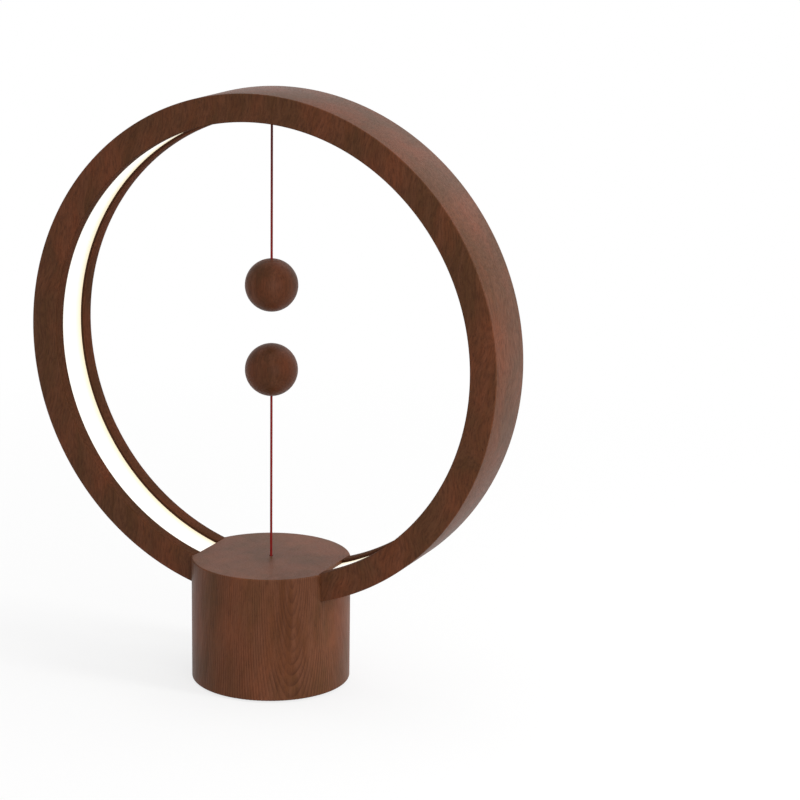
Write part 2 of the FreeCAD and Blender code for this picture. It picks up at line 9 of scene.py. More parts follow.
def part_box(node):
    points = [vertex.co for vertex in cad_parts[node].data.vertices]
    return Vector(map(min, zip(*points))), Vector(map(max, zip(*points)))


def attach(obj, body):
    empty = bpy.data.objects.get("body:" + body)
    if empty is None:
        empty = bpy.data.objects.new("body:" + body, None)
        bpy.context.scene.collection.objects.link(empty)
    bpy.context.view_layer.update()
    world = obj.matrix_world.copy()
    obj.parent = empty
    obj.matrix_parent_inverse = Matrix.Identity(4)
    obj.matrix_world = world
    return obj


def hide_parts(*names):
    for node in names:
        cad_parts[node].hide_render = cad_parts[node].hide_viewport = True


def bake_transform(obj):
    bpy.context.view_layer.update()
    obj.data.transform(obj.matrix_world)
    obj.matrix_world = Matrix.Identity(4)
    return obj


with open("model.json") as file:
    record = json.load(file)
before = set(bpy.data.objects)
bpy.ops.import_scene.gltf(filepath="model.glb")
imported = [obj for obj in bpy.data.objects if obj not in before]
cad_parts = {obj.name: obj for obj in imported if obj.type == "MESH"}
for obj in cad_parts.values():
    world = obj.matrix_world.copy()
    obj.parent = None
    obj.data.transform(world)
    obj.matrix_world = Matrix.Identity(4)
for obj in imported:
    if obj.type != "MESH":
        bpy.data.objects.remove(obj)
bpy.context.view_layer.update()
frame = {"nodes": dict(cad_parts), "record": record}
nodes = frame["nodes"]
slots = {s["node"]: s["material_slot"] for s in frame["record"]["subparts"]}
mm = 0.001
print("frame loaded:", len(nodes), "nodes")


# sizes that several pieces share, as the solids have them
lamp = {
    "ringCentre": 155.0 * mm,
    "ringOuter": 115.0 * mm,
    "ringInner": 102.5 * mm,
    "ringDepth": 31.0 * mm,
    "grooveWidth": 18.0 * mm,
    "grooveFloor": 108.5 * mm,
    "baseRadius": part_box("base_body")[1].x,
    "baseTop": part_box("base_body")[1].z,
}


def centreOf(node):
    low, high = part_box(node)
    return (low + high) / 2


def addObject(name, data):
    obj = bpy.data.objects.new(name, data)
    bpy.context.scene.collection.objects.link(obj)
    return obj


# nodes and links, for materials and for geometry
def feed(tree, socket, value):
    if isinstance(value, bpy.types.NodeSocket):
        tree.links.new(value, socket)
    elif value is not None:
        socket.default_value = value


def addNode(tree, kind, inputs=None, **settings):
    node = tree.nodes.new(kind)
    for name, value in settings.items():
        setattr(node, name, value)
    for name, value in (inputs or {}).items():
        feed(tree, node.inputs[name], value)
    return node


def math2(tree, operation, a, b=None):
    node = addNode(tree, "ShaderNodeMath", operation=operation)
    feed(tree, node.inputs[0], a)
    feed(tree, node.inputs[1], b)
    return node.outputs[0]


def vec2(tree, operation, a, b=None):
    node = addNode(tree, "ShaderNodeVectorMath", operation=operation)
    feed(tree, node.inputs[0], a)
    feed(tree, node.inputs[1], b)
    return node.outputs["Value" if operation == "LENGTH" else "Vector"]


def noise(tree, vector, scale, detail=3.0, roughness=0.5):
    return addNode(tree, "ShaderNodeTexNoise", {
        "Vector": vector, "Scale": scale, "Detail": detail, "Roughness": roughness}).outputs[0]


def mixColour(tree, share, a, b, blend="MIX"):
    node = addNode(tree, "ShaderNodeMix", data_type="RGBA", blend_type=blend)
    # a colour mixer's share, first and second colour are its sockets 0, 6 and 7
    for socket, value in zip((0, 6, 7), (share, a, b)):
        feed(tree, node.inputs[socket], (*value, 1) if isinstance(value, tuple) else value)
    return node.outputs[2]


def remap(tree, value, low, high, toLow=0.0, toHigh=1.0):
    return addNode(tree, "ShaderNodeMapRange", {
        "Value": value, "From Min": low, "From Max": high, "To Min": toLow, "To Max": toHigh}).outputs[0]


def newGroup(name, inputs, outputs):
    tree = bpy.data.node_groups.new(name, "ShaderNodeTree")
    for label, kind, value in inputs:
        socket = tree.interface.new_socket(name=label, in_out="INPUT", socket_type=kind)
        if value is not None:
            socket.default_value = value
    for label in outputs:
        tree.interface.new_socket(name=label, in_out="OUTPUT", socket_type="NodeSocketFloat")
    return tree, tree.nodes.new("NodeGroupInput").outputs, tree.nodes.new("NodeGroupOutput").inputs


# each layer of the wood's figure is noise stretched along the grain: its cycles per metre across and along,
# and the two values between which it goes from none to full
woodLayers = {
    "slow": {"across": 22.0, "along": 8.0},
    "quick": {"across": 170.0, "along": 26.0},
    "broken": {"across": 130.0, "along": 45.0, "detail": 3.0, "limits": (0.34, 0.62), "to": (0.15, 1.0)},
    "Pores": {"across": 2600.0, "along": 240.0, "roughness": 0.6, "limits": (0.56, 0.70)},
    "Patches": {"across": 52.0, "along": 26.0, "detail": 4.0, "roughness": 0.6, "limits": (0.38, 0.60)},
    "Strokes": {"across": 1300.0, "detail": 3.0, "roughness": 0.6, "limits": (0.42, 0.66)},
    "Bands": {"across": 300.0, "along": 7.0, "limits": (0.40, 0.64)},
}
# a ring darkens towards its late wood and stops short at the next one
growth = {"quickShare": 0.16, "darkening": 2.2, "lateEdge": 0.88, "heartFull": 0.5, "heartEnd": 1.2}
driftNoise = {"Scale": 38.0, "Detail": 1.0}


# solid wood: growth rings round the pith at local Z, with bands, patches and short strokes along the grain
def buildWoodFigure():
    tree, given, result = newGroup("woodFigure", [
        ("Vector", "NodeSocketVector", None),
        ("Ring Spacing", "NodeSocketFloat", 1.2 * mm),
        ("Warp", "NodeSocketFloat", 6.0 * mm),
        ("Stroke Length", "NodeSocketFloat", 8.0 * mm),
        ("Heart Radius", "NodeSocketFloat", 10.0 * mm),
        ("Sway", "NodeSocketFloat", 4.0 * mm)],
        ["Rings", "Pores", "Patches", "Strokes", "Bands", "Heart"])

    # the grain sways slowly to one side and the other on its way up the plank
    drift = addNode(tree, "ShaderNodeTexNoise", {"Vector": given["Vector"], **driftNoise}).outputs["Color"]
    amount = addNode(tree, "ShaderNodeCombineXYZ", {"X": given["Sway"], "Y": given["Sway"]}).outputs[0]
    place = vec2(tree, "ADD", given["Vector"],
                 vec2(tree, "MULTIPLY", vec2(tree, "SUBTRACT", drift, (0.5, 0.5, 0.5)), amount))

    def alongGrain(layer, along=None):
        look = woodLayers[layer]
        across = look["across"]
        if along is None:
            scale = (across, across, look["along"])
        else:
            scale = addNode(tree, "ShaderNodeCombineXYZ", {"X": across, "Y": across, "Z": along}).outputs[0]
        value = noise(tree, vec2(tree, "MULTIPLY", place, scale), 1.0, look.get("detail", 2.0),
                      look.get("roughness", 0.5))
        if "limits" in look:
            value = remap(tree, value, *look["limits"], *look.get("to", (0.0, 1.0)))
        return value

    def centred(value):
        return math2(tree, "SUBTRACT", value, 0.5)

    radius = vec2(tree, "LENGTH", vec2(tree, "MULTIPLY", place, (1.0, 1.0, 0.0)))
    slow = math2(tree, "MULTIPLY", centred(alongGrain("slow")), given["Warp"])
    quick = math2(tree, "MULTIPLY", centred(alongGrain("quick")),
                  math2(tree, "MULTIPLY", given["Warp"], growth["quickShare"]))
    wavy = math2(tree, "ADD", math2(tree, "ADD", radius, slow), quick)
    turn = math2(tree, "FRACT", math2(tree, "DIVIDE", wavy, given["Ring Spacing"]))
    late = math2(tree, "MULTIPLY", math2(tree, "POWER", turn, growth["darkening"]),
                 remap(tree, turn, growth["lateEdge"], 1.0, 1.0, 0.0))
    tree.links.new(math2(tree, "MULTIPLY", late, alongGrain("broken")), result["Rings"])
    for layer in ("Pores", "Patches", "Bands"):
        tree.links.new(alongGrain(layer), result[layer])
    perStroke = math2(tree, "DIVIDE", 1.0, given["Stroke Length"])
    tree.links.new(alongGrain("Strokes", perStroke), result["Strokes"])
    heart = remap(tree, math2(tree, "DIVIDE", wavy, given["Heart Radius"]),
                  growth["heartFull"], growth["heartEnd"], 1.0, 0.0)
    tree.links.new(heart, result["Heart"])
    return tree


woodFigure = buildWoodFigure()


def newMaterial(name, **settings):
    material = bpy.data.materials.new(name)
    material.use_nodes = True
    shader = material.node_tree.nodes["Principled BSDF"]
    for socket, value in settings.items():
        shader.inputs[socket.replace("_", " ")].default_value = value
    return material, material.node_tree, shader


def objectVector(tree, *steps):
    place = addNode(tree, "ShaderNodeTexCoord").outputs["Object"]
    for step in steps:
        turned = [math.radians(angle) for angle in step.get("turn", (0, 0, 0))]
        place = addNode(tree, "ShaderNodeMapping", {
            "Vector": place, "Location": step.get("move", (0, 0, 0)), "Rotation": turned,
            "Scale": step.get("scale", (1, 1, 1))}).outputs[0]
    return place


def bump(tree, shader, height, look):
    node = addNode(tree, "ShaderNodeBump", {
        "Height": height, "Distance": look["relief"], "Strength": look["reliefShare"]})
    tree.links.new(node.outputs[0], shader.inputs["Normal"])


# where the groove for the light band is, and the lips beside it on the hoop's inside
def hoopInside(tree, groove):
    place = addNode(tree, "ShaderNodeSeparateXYZ", {"Vector": objectVector(tree)}).outputs
    fromMiddle = math2(tree, "ABSOLUTE", place["Y"])
    up = math2(tree, "SUBTRACT", place["Z"], lamp["ringCentre"])
    reach = math2(tree, "SQRT", math2(tree, "ADD", math2(tree, "MULTIPLY", place["X"], place["X"]),
                                     math2(tree, "MULTIPLY", up, up)))
    inGroove = math2(tree, "MULTIPLY", math2(tree, "LESS_THAN", fromMiddle, groove["halfWidth"]),
                     math2(tree, "LESS_THAN", reach, groove["reach"]))
    return inGroove, math2(tree, "LESS_THAN", reach, groove["lipReach"])


def woodMaterial(name, look):
    material, tree, shader = newMaterial(name, Specular_IOR_Level=look["gloss"], IOR=look["ior"])
    figure = addNode(tree, "ShaderNodeGroup", {}, node_tree=woodFigure)
    tree.links.new(objectVector(tree, *look["lie"]), figure.inputs["Vector"])
    for label in ("Ring Spacing", "Warp", "Stroke Length", "Heart Radius", "Sway"):
        figure.inputs[label].default_value = look[label]
    out = figure.outputs
    colour = mixColour(tree, out["Patches"], look["red"], look["olive"])
    for layer, tone in (("Heart", "heart"), ("Bands", "light"), ("Rings", "late"), ("Strokes", "late"),
                        ("Pores", "pore")):
        share = math2(tree, "MULTIPLY", out[layer], look["shares"][layer])
        colour = mixColour(tree, share, colour, look[tone])
    roughness = math2(tree, "ADD", math2(tree, "MULTIPLY", out["Strokes"], look["strokeRougher"]),
                      look["roughness"])
    if "groove" in look:
        # the groove's walls are painted dark as painted shade in the recess, and the lips are painted a
        # little darker as painted shade and left rougher
        groove = look["groove"]
        inGroove, onLip = hoopInside(tree, groove)
        # painted shade: the lips' colour is multiplied darker
        lipWithPaintedShade = mixColour(tree, 1.0, colour, groove["lipPaintedShade"], "MULTIPLY")
        colour = mixColour(tree, onLip, colour, lipWithPaintedShade)
        # painted shade: the groove's walls take a dark colour in place of the wood's
        colour = mixColour(tree, inGroove, colour, groove["tone"])
        roughness = math2(tree, "ADD", roughness, math2(tree, "MULTIPLY", onLip, groove["lipRougher"]))
    tree.links.new(colour, shader.inputs["Base Color"])
    tree.links.new(roughness, shader.inputs["Roughness"])
    ridges = math2(tree, "MULTIPLY", out["Rings"], look["ringRelief"])
    bump(tree, shader, math2(tree, "SUBTRACT", ridges, out["Pores"]), look)
    return material


woodTones = {
    "red": (0.150, 0.044, 0.017),
    "olive": (0.092, 0.036, 0.013),
    "heart": (0.160, 0.046, 0.011),
    "late": (0.046, 0.013, 0.005),
    "light": (0.165, 0.062, 0.032),
    "pore": (0.036, 0.011, 0.005),
    "gloss": 0.14,
    "ior": 1.45,
    "roughness": 0.42,
    "strokeRougher": 0.08,
    "ringRelief": 0.4,
    "relief": 0.04 * mm,
    "reliefShare": 0.5,
}

hoopLook = dict(woodTones, **{
    "groove": {
        # painted shade: a dark colour for the groove's walls and a darker multiplier for the lips; the lips
        # are also rougher
        "tone": (0.042, 0.011, 0.003), "halfWidth": 9.02 * mm, "reach": 109.0 * mm,
        "lipReach": 102.7 * mm, "lipPaintedShade": (0.78, 0.74, 0.70), "lipRougher": 0.42},
    "lie": [{"move": (240.0 * mm, 12.0 * mm, 0.0), "turn": (2, -7, 0)}],
    "Ring Spacing": 1.9 * mm,
    "Warp": 15.0 * mm,
    "Heart Radius": 1.0 * mm,
    "Stroke Length": 5.0 * mm,
    "Sway": 12.0 * mm,
    "shares": {"Heart": 0.0, "Bands": 0.30, "Rings": 0.24, "Strokes": 0.50, "Pores": 0.5},
})

# the pith leans out through the front of the base, which cuts its rings into nested points
cathedral = {"azimuth": 42.1, "depth": 5.8 * mm, "lean": 0.15, "midHeight": 35.0 * mm}
pithInwards = lamp["baseRadius"] - cathedral["depth"] - cathedral["lean"] * cathedral["midHeight"]
baseLook = dict(woodTones, **{
    "red": (0.182, 0.059, 0.026),
    "olive": (0.110, 0.044, 0.017),
    "heart": (0.088, 0.028, 0.008),
    "lie": [
        {"turn": (0, 0, -cathedral["azimuth"])},
        {"turn": (-math.degrees(math.atan(cathedral["lean"])), 0, 0), "move": (0, pithInwards, 0)}],
    "Ring Spacing": 0.90 * mm,
    "Warp": 2.0 * mm,
    "Heart Radius": 12.0 * mm,
    "Stroke Length": 28.0 * mm,
    "Sway": 0.8 * mm,
    "shares": {"Heart": 0.85, "Bands": 0.55, "Rings": 0.88, "Strokes": 0.26, "Pores": 0.35},
})

ballLook = dict(woodTones, **{
    "red": (0.134, 0.038, 0.015),
    "olive": (0.070, 0.027, 0.010),
    "light": (0.155, 0.058, 0.030),
    "gloss": 0.13,
    "roughness": 0.44,
    "lie": [{"turn": (5, 7, 0)}, {"move": (4.0 * mm, 21.0 * mm, 0.0)}],
    "Ring Spacing": 1.6 * mm,
    "Warp": 6.0 * mm,
    "Heart Radius": 1.0 * mm,
    "Stroke Length": 7.0 * mm,
    "Sway": 6.0 * mm,
    "shares": {"Heart": 0.0, "Bands": 0.40, "Rings": 0.30, "Strokes": 0.36, "Pores": 0.5},
})

materials = {
    "hoop_wood": woodMaterial("hoopWood", hoopLook),
    "base_wood": woodMaterial("baseWood", baseLook),
    "ball_wood": woodMaterial("ballWood", ballLook),
}
materials["plug_wood"] = materials["ball_wood"]


# the band's light is white at its front edge and cream towards the back
def diffuserMaterial(look):
    material, tree, shader = newMaterial("litDiffuser", Roughness=look["roughness"],
                                         Emission_Strength=look["strength"])
    shader.inputs["Base Color"].default_value = (*look["unlit"], 1)
    place = addNode(tree, "ShaderNodeSeparateXYZ", {"Vector": objectVector(tree)})
    rearwards = remap(tree, place.outputs["Y"], look["fadeFrom"], look["fadeTo"])
    colour = mixColour(tree, rearwards, look["white"], look["cream"])
    tree.links.new(colour, shader.inputs["Emission Color"])
    return material


materials["diffuser"] = diffuserMaterial({
    "white": (1.0, 0.99, 0.94), "cream": (1.0, 0.82, 0.48), "unlit": (0.35, 0.34, 0.30),
    "fadeFrom": 3.5 * mm, "fadeTo": 9.5 * mm, "strength": 0.80, "roughness": 0.45})


# red cord: fine fibres and worn places, and painted shade that darkens it towards the top of the hoop, where
# it hangs under the hoop
def cordMaterial(look):
    material, tree, shader = newMaterial("redCord", Roughness=look["roughness"],
                                         Specular_IOR_Level=look["gloss"])
    vector = objectVector(tree)
    fibres = noise(tree, vec2(tree, "MULTIPLY", vector, look["fibreGrain"]), 1.0, 3.0, 0.6)
    slow = noise(tree, vec2(tree, "MULTIPLY", vector, look["wornGrain"]), 1.0, 2.0)
    colour = mixColour(tree, remap(tree, fibres, *look["fibreLimits"]), look["dark"], look["red"])
    colour = mixColour(tree, math2(tree, "MULTIPLY", slow, look["wornShare"]), colour, look["worn"])
    height = addNode(tree, "ShaderNodeSeparateXYZ", {"Vector": vector}).outputs["Z"]
    # painted shade: the cord's colour darkens towards the hoop above it, as if in the hoop's shadow
    paintedShade = remap(tree, height, look["unshadedBelow"], look["paintedShadeAbove"], 0.0, look["paintedShadeShare"])
    colour = mixColour(tree, paintedShade, colour, look["paintedShade"])
    tree.links.new(colour, shader.inputs["Base Color"])
    bump(tree, shader, fibres, look)
    return material


materials["cord"] = cordMaterial({
    "red": (0.34, 0.016, 0.012), "dark": (0.16, 0.007, 0.006), "worn": (0.24, 0.014, 0.012),
    # painted shade under the hoop: its colour, the height where it starts, the height where it is full, and
    # its share
    "paintedShade": (0.030, 0.007, 0.007), "unshadedBelow": 196.0 * mm, "paintedShadeAbove": 256.0 * mm, "paintedShadeShare": 0.85,
    "fibreGrain": (9000.0, 9000.0, 1600.0), "fibreLimits": (0.35, 0.65),
    "wornGrain": (200.0, 200.0, 90.0), "wornShare": 0.35,
    "roughness": 0.8, "gloss": 0.25, "relief": 0.03 * mm, "reliefShare": 0.6})


# moulded plastics, metals and the other plain finishes: fine grain in colour, gloss and relief
plainGrain = {"slower": 14, "fineShare": 0.6, "slowShare": 0.4, "toneLimits": (0.35, 0.65),
              "roughLimits": (0.3, 0.7)}
plainFinish = {"metallic": 0.0, "gloss": 0.5, "stretch": (1, 1, 1), "relief": 0.01 * mm, "reliefShare": 0.4}


def plainMaterial(name, look):
    look = dict(plainFinish, **look)
    material, tree, shader = newMaterial(name, Metallic=look["metallic"], Specular_IOR_Level=look["gloss"])
    vector = objectVector(tree, {"scale": look["stretch"]})
    fine = noise(tree, vector, look["grain"], 3.0, 0.6)
    slow = noise(tree, vector, look["grain"] / plainGrain["slower"], 2.0)
    shade = math2(tree, "ADD", math2(tree, "MULTIPLY", fine, plainGrain["fineShare"]),
                  math2(tree, "MULTIPLY", slow, plainGrain["slowShare"]))
    colour = mixColour(tree, remap(tree, shade, *plainGrain["toneLimits"]), look["dark"], look["light"])
    tree.links.new(colour, shader.inputs["Base Color"])
    roughness = remap(tree, shade, *plainGrain["roughLimits"], *look["rough"])
    tree.links.new(roughness, shader.inputs["Roughness"])
    bump(tree, shader, fine, look)
    return material


plainLooks = {
    "led_strip": dict(dark=(0.62, 0.61, 0.57), light=(0.72, 0.71, 0.68), rough=(0.45, 0.6), grain=900.0),
    "led_chip": dict(dark=(0.80, 0.62, 0.16), light=(0.92, 0.76, 0.26), rough=(0.25, 0.4), grain=2000.0),
    "lead": dict(dark=(0.34, 0.012, 0.010), light=(0.45, 0.020, 0.016), rough=(0.4, 0.5), grain=1500.0),
    "dark_bush": dict(dark=(0.020, 0.009, 0.006), light=(0.034, 0.016, 0.010), rough=(0.45, 0.6),
                      grain=2400.0),
    "eyelet": dict(dark=(0.28, 0.18, 0.08), light=(0.42, 0.29, 0.14), rough=(0.3, 0.45), grain=1800.0,
                   metallic=1.0),
    "frame_plastic": dict(dark=(0.014, 0.014, 0.014), light=(0.026, 0.026, 0.026), rough=(0.5, 0.65),
                          grain=1500.0),
    "screw": dict(dark=(0.40, 0.40, 0.41), light=(0.58, 0.58, 0.58), rough=(0.28, 0.42), grain=1600.0,
                  metallic=1.0),
    "switch_plastic": dict(dark=(0.012, 0.012, 0.014), light=(0.022, 0.022, 0.024), rough=(0.4, 0.5),
                           grain=2000.0),
    "switch_metal": dict(dark=(0.46, 0.45, 0.42), light=(0.62, 0.60, 0.57), rough=(0.2, 0.35), grain=2500.0,
                         metallic=1.0),
    "button": dict(dark=(0.36, 0.012, 0.012), light=(0.45, 0.018, 0.018), rough=(0.25, 0.35), grain=2000.0),
    "board": dict(dark=(0.010, 0.075, 0.028), light=(0.016, 0.105, 0.042), rough=(0.25, 0.4), grain=500.0),
    "board_part": dict(dark=(0.014, 0.014, 0.016), light=(0.026, 0.026, 0.028), rough=(0.4, 0.55),
                       grain=1800.0),
    "socket": dict(dark=(0.42, 0.42, 0.43), light=(0.58, 0.58, 0.58), rough=(0.22, 0.38), grain=2200.0,
                   metallic=1.0, stretch=(1, 0.15, 1)),
    "surround": dict(dark=(0.013, 0.012, 0.011), light=(0.026, 0.024, 0.022), rough=(0.5, 0.7), grain=2600.0,
                     relief=0.03 * mm),
    "ballast": dict(dark=(0.03, 0.03, 0.03), light=(0.05, 0.05, 0.05), rough=(0.4, 0.55), grain=1200.0),
    "bottom_plate": dict(dark=(0.016, 0.016, 0.016), light=(0.030, 0.030, 0.030), rough=(0.45, 0.6),
                         grain=2600.0),
    "foot_pad": dict(dark=(0.010, 0.010, 0.010), light=(0.030, 0.029, 0.028), rough=(0.9, 1.0), grain=2600.0,
                     relief=0.12 * mm, reliefShare=0.9, gloss=0.1),
    "rod": dict(dark=(0.45, 0.45, 0.45), light=(0.62, 0.62, 0.62), rough=(0.16, 0.28), grain=1600.0,
                metallic=1.0, stretch=(1, 1, 6)),
    "clip": dict(dark=(0.16, 0.16, 0.17), light=(0.26, 0.26, 0.27), rough=(0.3, 0.45), grain=2000.0,
                 metallic=1.0),
    "spring": dict(dark=(0.42, 0.42, 0.42), light=(0.58, 0.58, 0.58), rough=(0.2, 0.32), grain=2400.0,
                   metallic=1.0),
    "magnet": dict(dark=(0.52, 0.53, 0.55), light=(0.66, 0.67, 0.69), rough=(0.08, 0.2), grain=1500.0,
                   metallic=1.0),
}
for slotName, look in plainLooks.items():
    materials[slotName] = plainMaterial(slotName.title().replace("_", ""), look)
print("materials made:", len(materials))


def wear(obj, slotName):
    obj.data.materials.clear()
    obj.data.materials.append(materials[slotName])


for name, node in nodes.items():
    wear(node, slots[name])


def newPiece(name, mesh, body, slotName, stands=()):
    obj = addObject(name, mesh)
    wear(obj, slotName)
    if body:
        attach(obj, body)
    if stands:
        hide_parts(*stands)
    return obj


def shadeByAngle(mesh, degrees):
    for polygon in mesh.polygons:
        polygon.use_smooth = True
    mesh.set_sharp_from_angle(angle=math.radians(degrees))


def finishedMesh(build, name, sharpAngle):
    mesh = bpy.data.meshes.new(name)
    build.to_mesh(mesh)
    build.free()
    shadeByAngle(mesh, sharpAngle)
    return mesh


def closeSeams(build, gap):
    bmesh.ops.remove_doubles(build, verts=build.verts, dist=gap)
    bmesh.ops.dissolve_degenerate(build, edges=build.edges, dist=gap)
    bmesh.ops.recalc_face_normals(build, faces=build.faces)


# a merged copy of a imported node, so that its curved faces shade smoothly
def smoothCopy(node, name, body, sharpAngle, weldGap):
    mesh = nodes[node].data.copy()
    build = bmesh.new()
    build.from_mesh(mesh)
    bmesh.ops.remove_doubles(build, verts=build.verts, dist=weldGap)
    build.to_mesh(mesh)
    build.free()
    mesh.name = name
    shadeByAngle(mesh, sharpAngle)
    obj = newPiece(name, mesh, None, slots[node])
    weigh = obj.modifiers.new("flatFacesFlat", "WEIGHTED_NORMAL")
    weigh.keep_sharp = True
    weigh.weight = 100
    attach(obj, body)
    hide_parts(node)


# hoop and lens: one profile swept round the ring, cut off where it stands in the base
def buildSweepTree():
    tree = bpy.data.node_groups.new("ringSweep", "GeometryNodeTree")
    made = tree.interface.new_socket
    made(name="Profile", in_out="INPUT", socket_type="NodeSocketGeometry")
    for label, value in (("Radius", 100.0 * mm), ("Profile Reach", 14.0 * mm), ("Centre Height", 155.0 * mm),
                         ("End X", 30.0 * mm), ("Edge Round", 0.5 * mm)):
        made(name=label, in_out="INPUT", socket_type="NodeSocketFloat").default_value = value
    for label, value in (("Segments", 256), ("Round Steps", 4)):
        made(name=label, in_out="INPUT", socket_type="NodeSocketInt").default_value = value
    made(name="Material", in_out="INPUT", socket_type="NodeSocketMaterial")
    made(name="Ring", in_out="OUTPUT", socket_type="NodeSocketGeometry")
    given = tree.nodes.new("NodeGroupInput").outputs
    result = tree.nodes.new("NodeGroupOutput").inputs

    def calc(operation, a, b=None):
        return math2(tree, operation, a, b)

    openHalf = calc("ARCSINE", calc("DIVIDE", given["End X"],
                                    calc("ADD", given["Radius"], given["Profile Reach"])))
    start = calc("SUBTRACT", openHalf, math.pi / 2)
    sweep = calc("SUBTRACT", 2 * math.pi, calc("MULTIPLY", openHalf, 2.0))
    arc = addNode(tree, "GeometryNodeCurveArc", {
        "Resolution": given["Segments"], "Radius": given["Radius"], "Start Angle": start,
        "Sweep Angle": sweep})
    centre = addNode(tree, "ShaderNodeCombineXYZ", {"Z": given["Centre Height"]}).outputs[0]
    upright = addNode(tree, "GeometryNodeTransform", {
        "Geometry": arc.outputs[0], "Translation": centre, "Rotation": (math.pi / 2, 0.0, 0.0)})
    place = addNode(tree, "GeometryNodeInputPosition").outputs[0]
    outwards = vec2(tree, "NORMALIZE", vec2(tree, "SUBTRACT", place, centre))
    aimed = addNode(tree, "GeometryNodeSetCurveNormal", {
        "Curve": upright.outputs[0], "Normal": outwards}, mode="FREE")
    rounded = addNode(tree, "GeometryNodeFilletCurve", {
        "Curve": given["Profile"], "Count": given["Round Steps"], "Radius": given["Edge Round"]}, mode="POLY")
    swept = addNode(tree, "GeometryNodeCurveToMesh", {
        "Curve": aimed.outputs[0], "Profile Curve": rounded.outputs[0], "Fill Caps": True})
    # points nearer to the middle than End X slide along their own circle to that plane
    xyz = addNode(tree, "ShaderNodeSeparateXYZ", {"Vector": vec2(tree, "SUBTRACT", place, centre)}).outputs
    reach = calc("SQRT", calc("ADD", calc("MULTIPLY", xyz["X"], xyz["X"]),
                              calc("MULTIPLY", xyz["Z"], xyz["Z"])))
    endX2 = calc("MULTIPLY", given["End X"], given["End X"])
    endZ = calc("SQRT", calc("SUBTRACT", calc("MULTIPLY", reach, reach), endX2))
    ended = addNode(tree, "ShaderNodeCombineXYZ", {
        "X": calc("MULTIPLY", calc("SIGN", xyz["X"]), given["End X"]), "Y": xyz["Y"],
        "Z": calc("SUBTRACT", given["Centre Height"], endZ)}).outputs[0]
    inMiddle = calc("MULTIPLY", calc("LESS_THAN", calc("ABSOLUTE", xyz["X"]), given["End X"]),
                    calc("LESS_THAN", xyz["Z"], 0.0))
    cut = addNode(tree, "GeometryNodeSetPosition", {
        "Geometry": swept.outputs[0], "Selection": inMiddle, "Position": ended})
    real = addNode(tree, "GeometryNodeRealizeInstances", {"Geometry": cut.outputs[0]})
    dressed = addNode(tree, "GeometryNodeSetMaterial", {
        "Geometry": real.outputs[0], "Material": given["Material"]})
    tree.links.new(dressed.outputs[0], result["Ring"])
    return tree


ringSweep = buildSweepTree()


def profileCurve(name, points):
    curve = bpy.data.curves.new(name, "CURVE")
    curve.dimensions = "3D"
    spline = curve.splines.new("POLY")
    spline.points.add(len(points) - 1)
    for point, (x, y) in zip(spline.points, points):
        point.co = (x, y, 0.0, 1.0)
    spline.use_cyclic_u = True
    return addObject(name, curve)


# the mesh that an object's modifiers give, in place of the object
def plainMesh(obj, sharpAngle, weldGap):
    depsgraph = bpy.context.evaluated_depsgraph_get()
    mesh = bpy.data.meshes.new_from_object(obj.evaluated_get(depsgraph))
    curve = obj.data
    bpy.data.objects.remove(obj)
    bpy.data.curves.remove(curve)
    build = bmesh.new()
    build.from_mesh(mesh)
    closeSeams(build, weldGap)
    build.to_mesh(mesh)
    build.free()
    shadeByAngle(mesh, sharpAngle)
    return mesh


def sweepRing(name, points, sizes, slotName):
    obj = profileCurve(name, points)
    modifier = obj.modifiers.new("sweep", "NODES")
    modifier.node_group = ringSweep
    given = dict(sizes, **{"Centre Height": lamp["ringCentre"], "Material": materials[slotName]})
    for item in ringSweep.interface.items_tree:
        if item.in_out == "INPUT" and item.name in given:
            modifier[item.identifier] = given[item.name]
    return plainMesh(obj, ringFinish["sharpAngle"], ringFinish["weldGap"])


ringFinish = {"sharpAngle": 40, "weldGap": 0.002 * mm}
shoulderX = math.sqrt(lamp["ringInner"] ** 2 - (lamp["ringCentre"] - lamp["baseTop"]) ** 2)
hoopWall = lamp["ringOuter"] - lamp["ringInner"]
halfDepth = lamp["ringDepth"] / 2
halfGroove = lamp["grooveWidth"] / 2
grooveDepth = lamp["grooveFloor"] - lamp["ringInner"]

hoop = {
    "Radius": lamp["ringInner"],
    "Profile Reach": 14.0 * mm,
    "End X": shoulderX,
    "Edge Round": 0.5 * mm,
    "Segments": 288,
    "Round Steps": 4,
}
hoopMesh = sweepRing("hoop", [
    (0.0, halfGroove), (0.0, halfDepth), (hoopWall, halfDepth), (hoopWall, -halfDepth), (0.0, -halfDepth),
    (0.0, -halfGroove), (grooveDepth, -halfGroove), (grooveDepth, halfGroove)], hoop, "hoop_wood")
newPiece("hoop", hoopMesh, "lamp", "hoop_wood", ["ring_hoop"])

lens = dict(hoop, **{"Radius": 104.0 * mm, "End X": shoulderX + 0.05 * mm, "Edge Round": 0.3 * mm})
lensSection = {"thickness": 1.5 * mm, "sideGap": 0.05 * mm}
thick, lensHalf = lensSection["thickness"], halfGroove - lensSection["sideGap"]
lensMesh = sweepRing("lens", [
    (0.0, lensHalf), (thick, lensHalf), (thick, -lensHalf), (0.0, -lensHalf)], lens, "diffuser")
newPiece("lens", lensMesh, "lamp", "diffuser", ["ring_diffuser"])
print("hoop and lens:", len(hoopMesh.polygons), len(lensMesh.polygons), "faces")

smoothCopy("base_body", "baseBlock", "lamp", sharpAngle=30, weldGap=0.001 * mm)


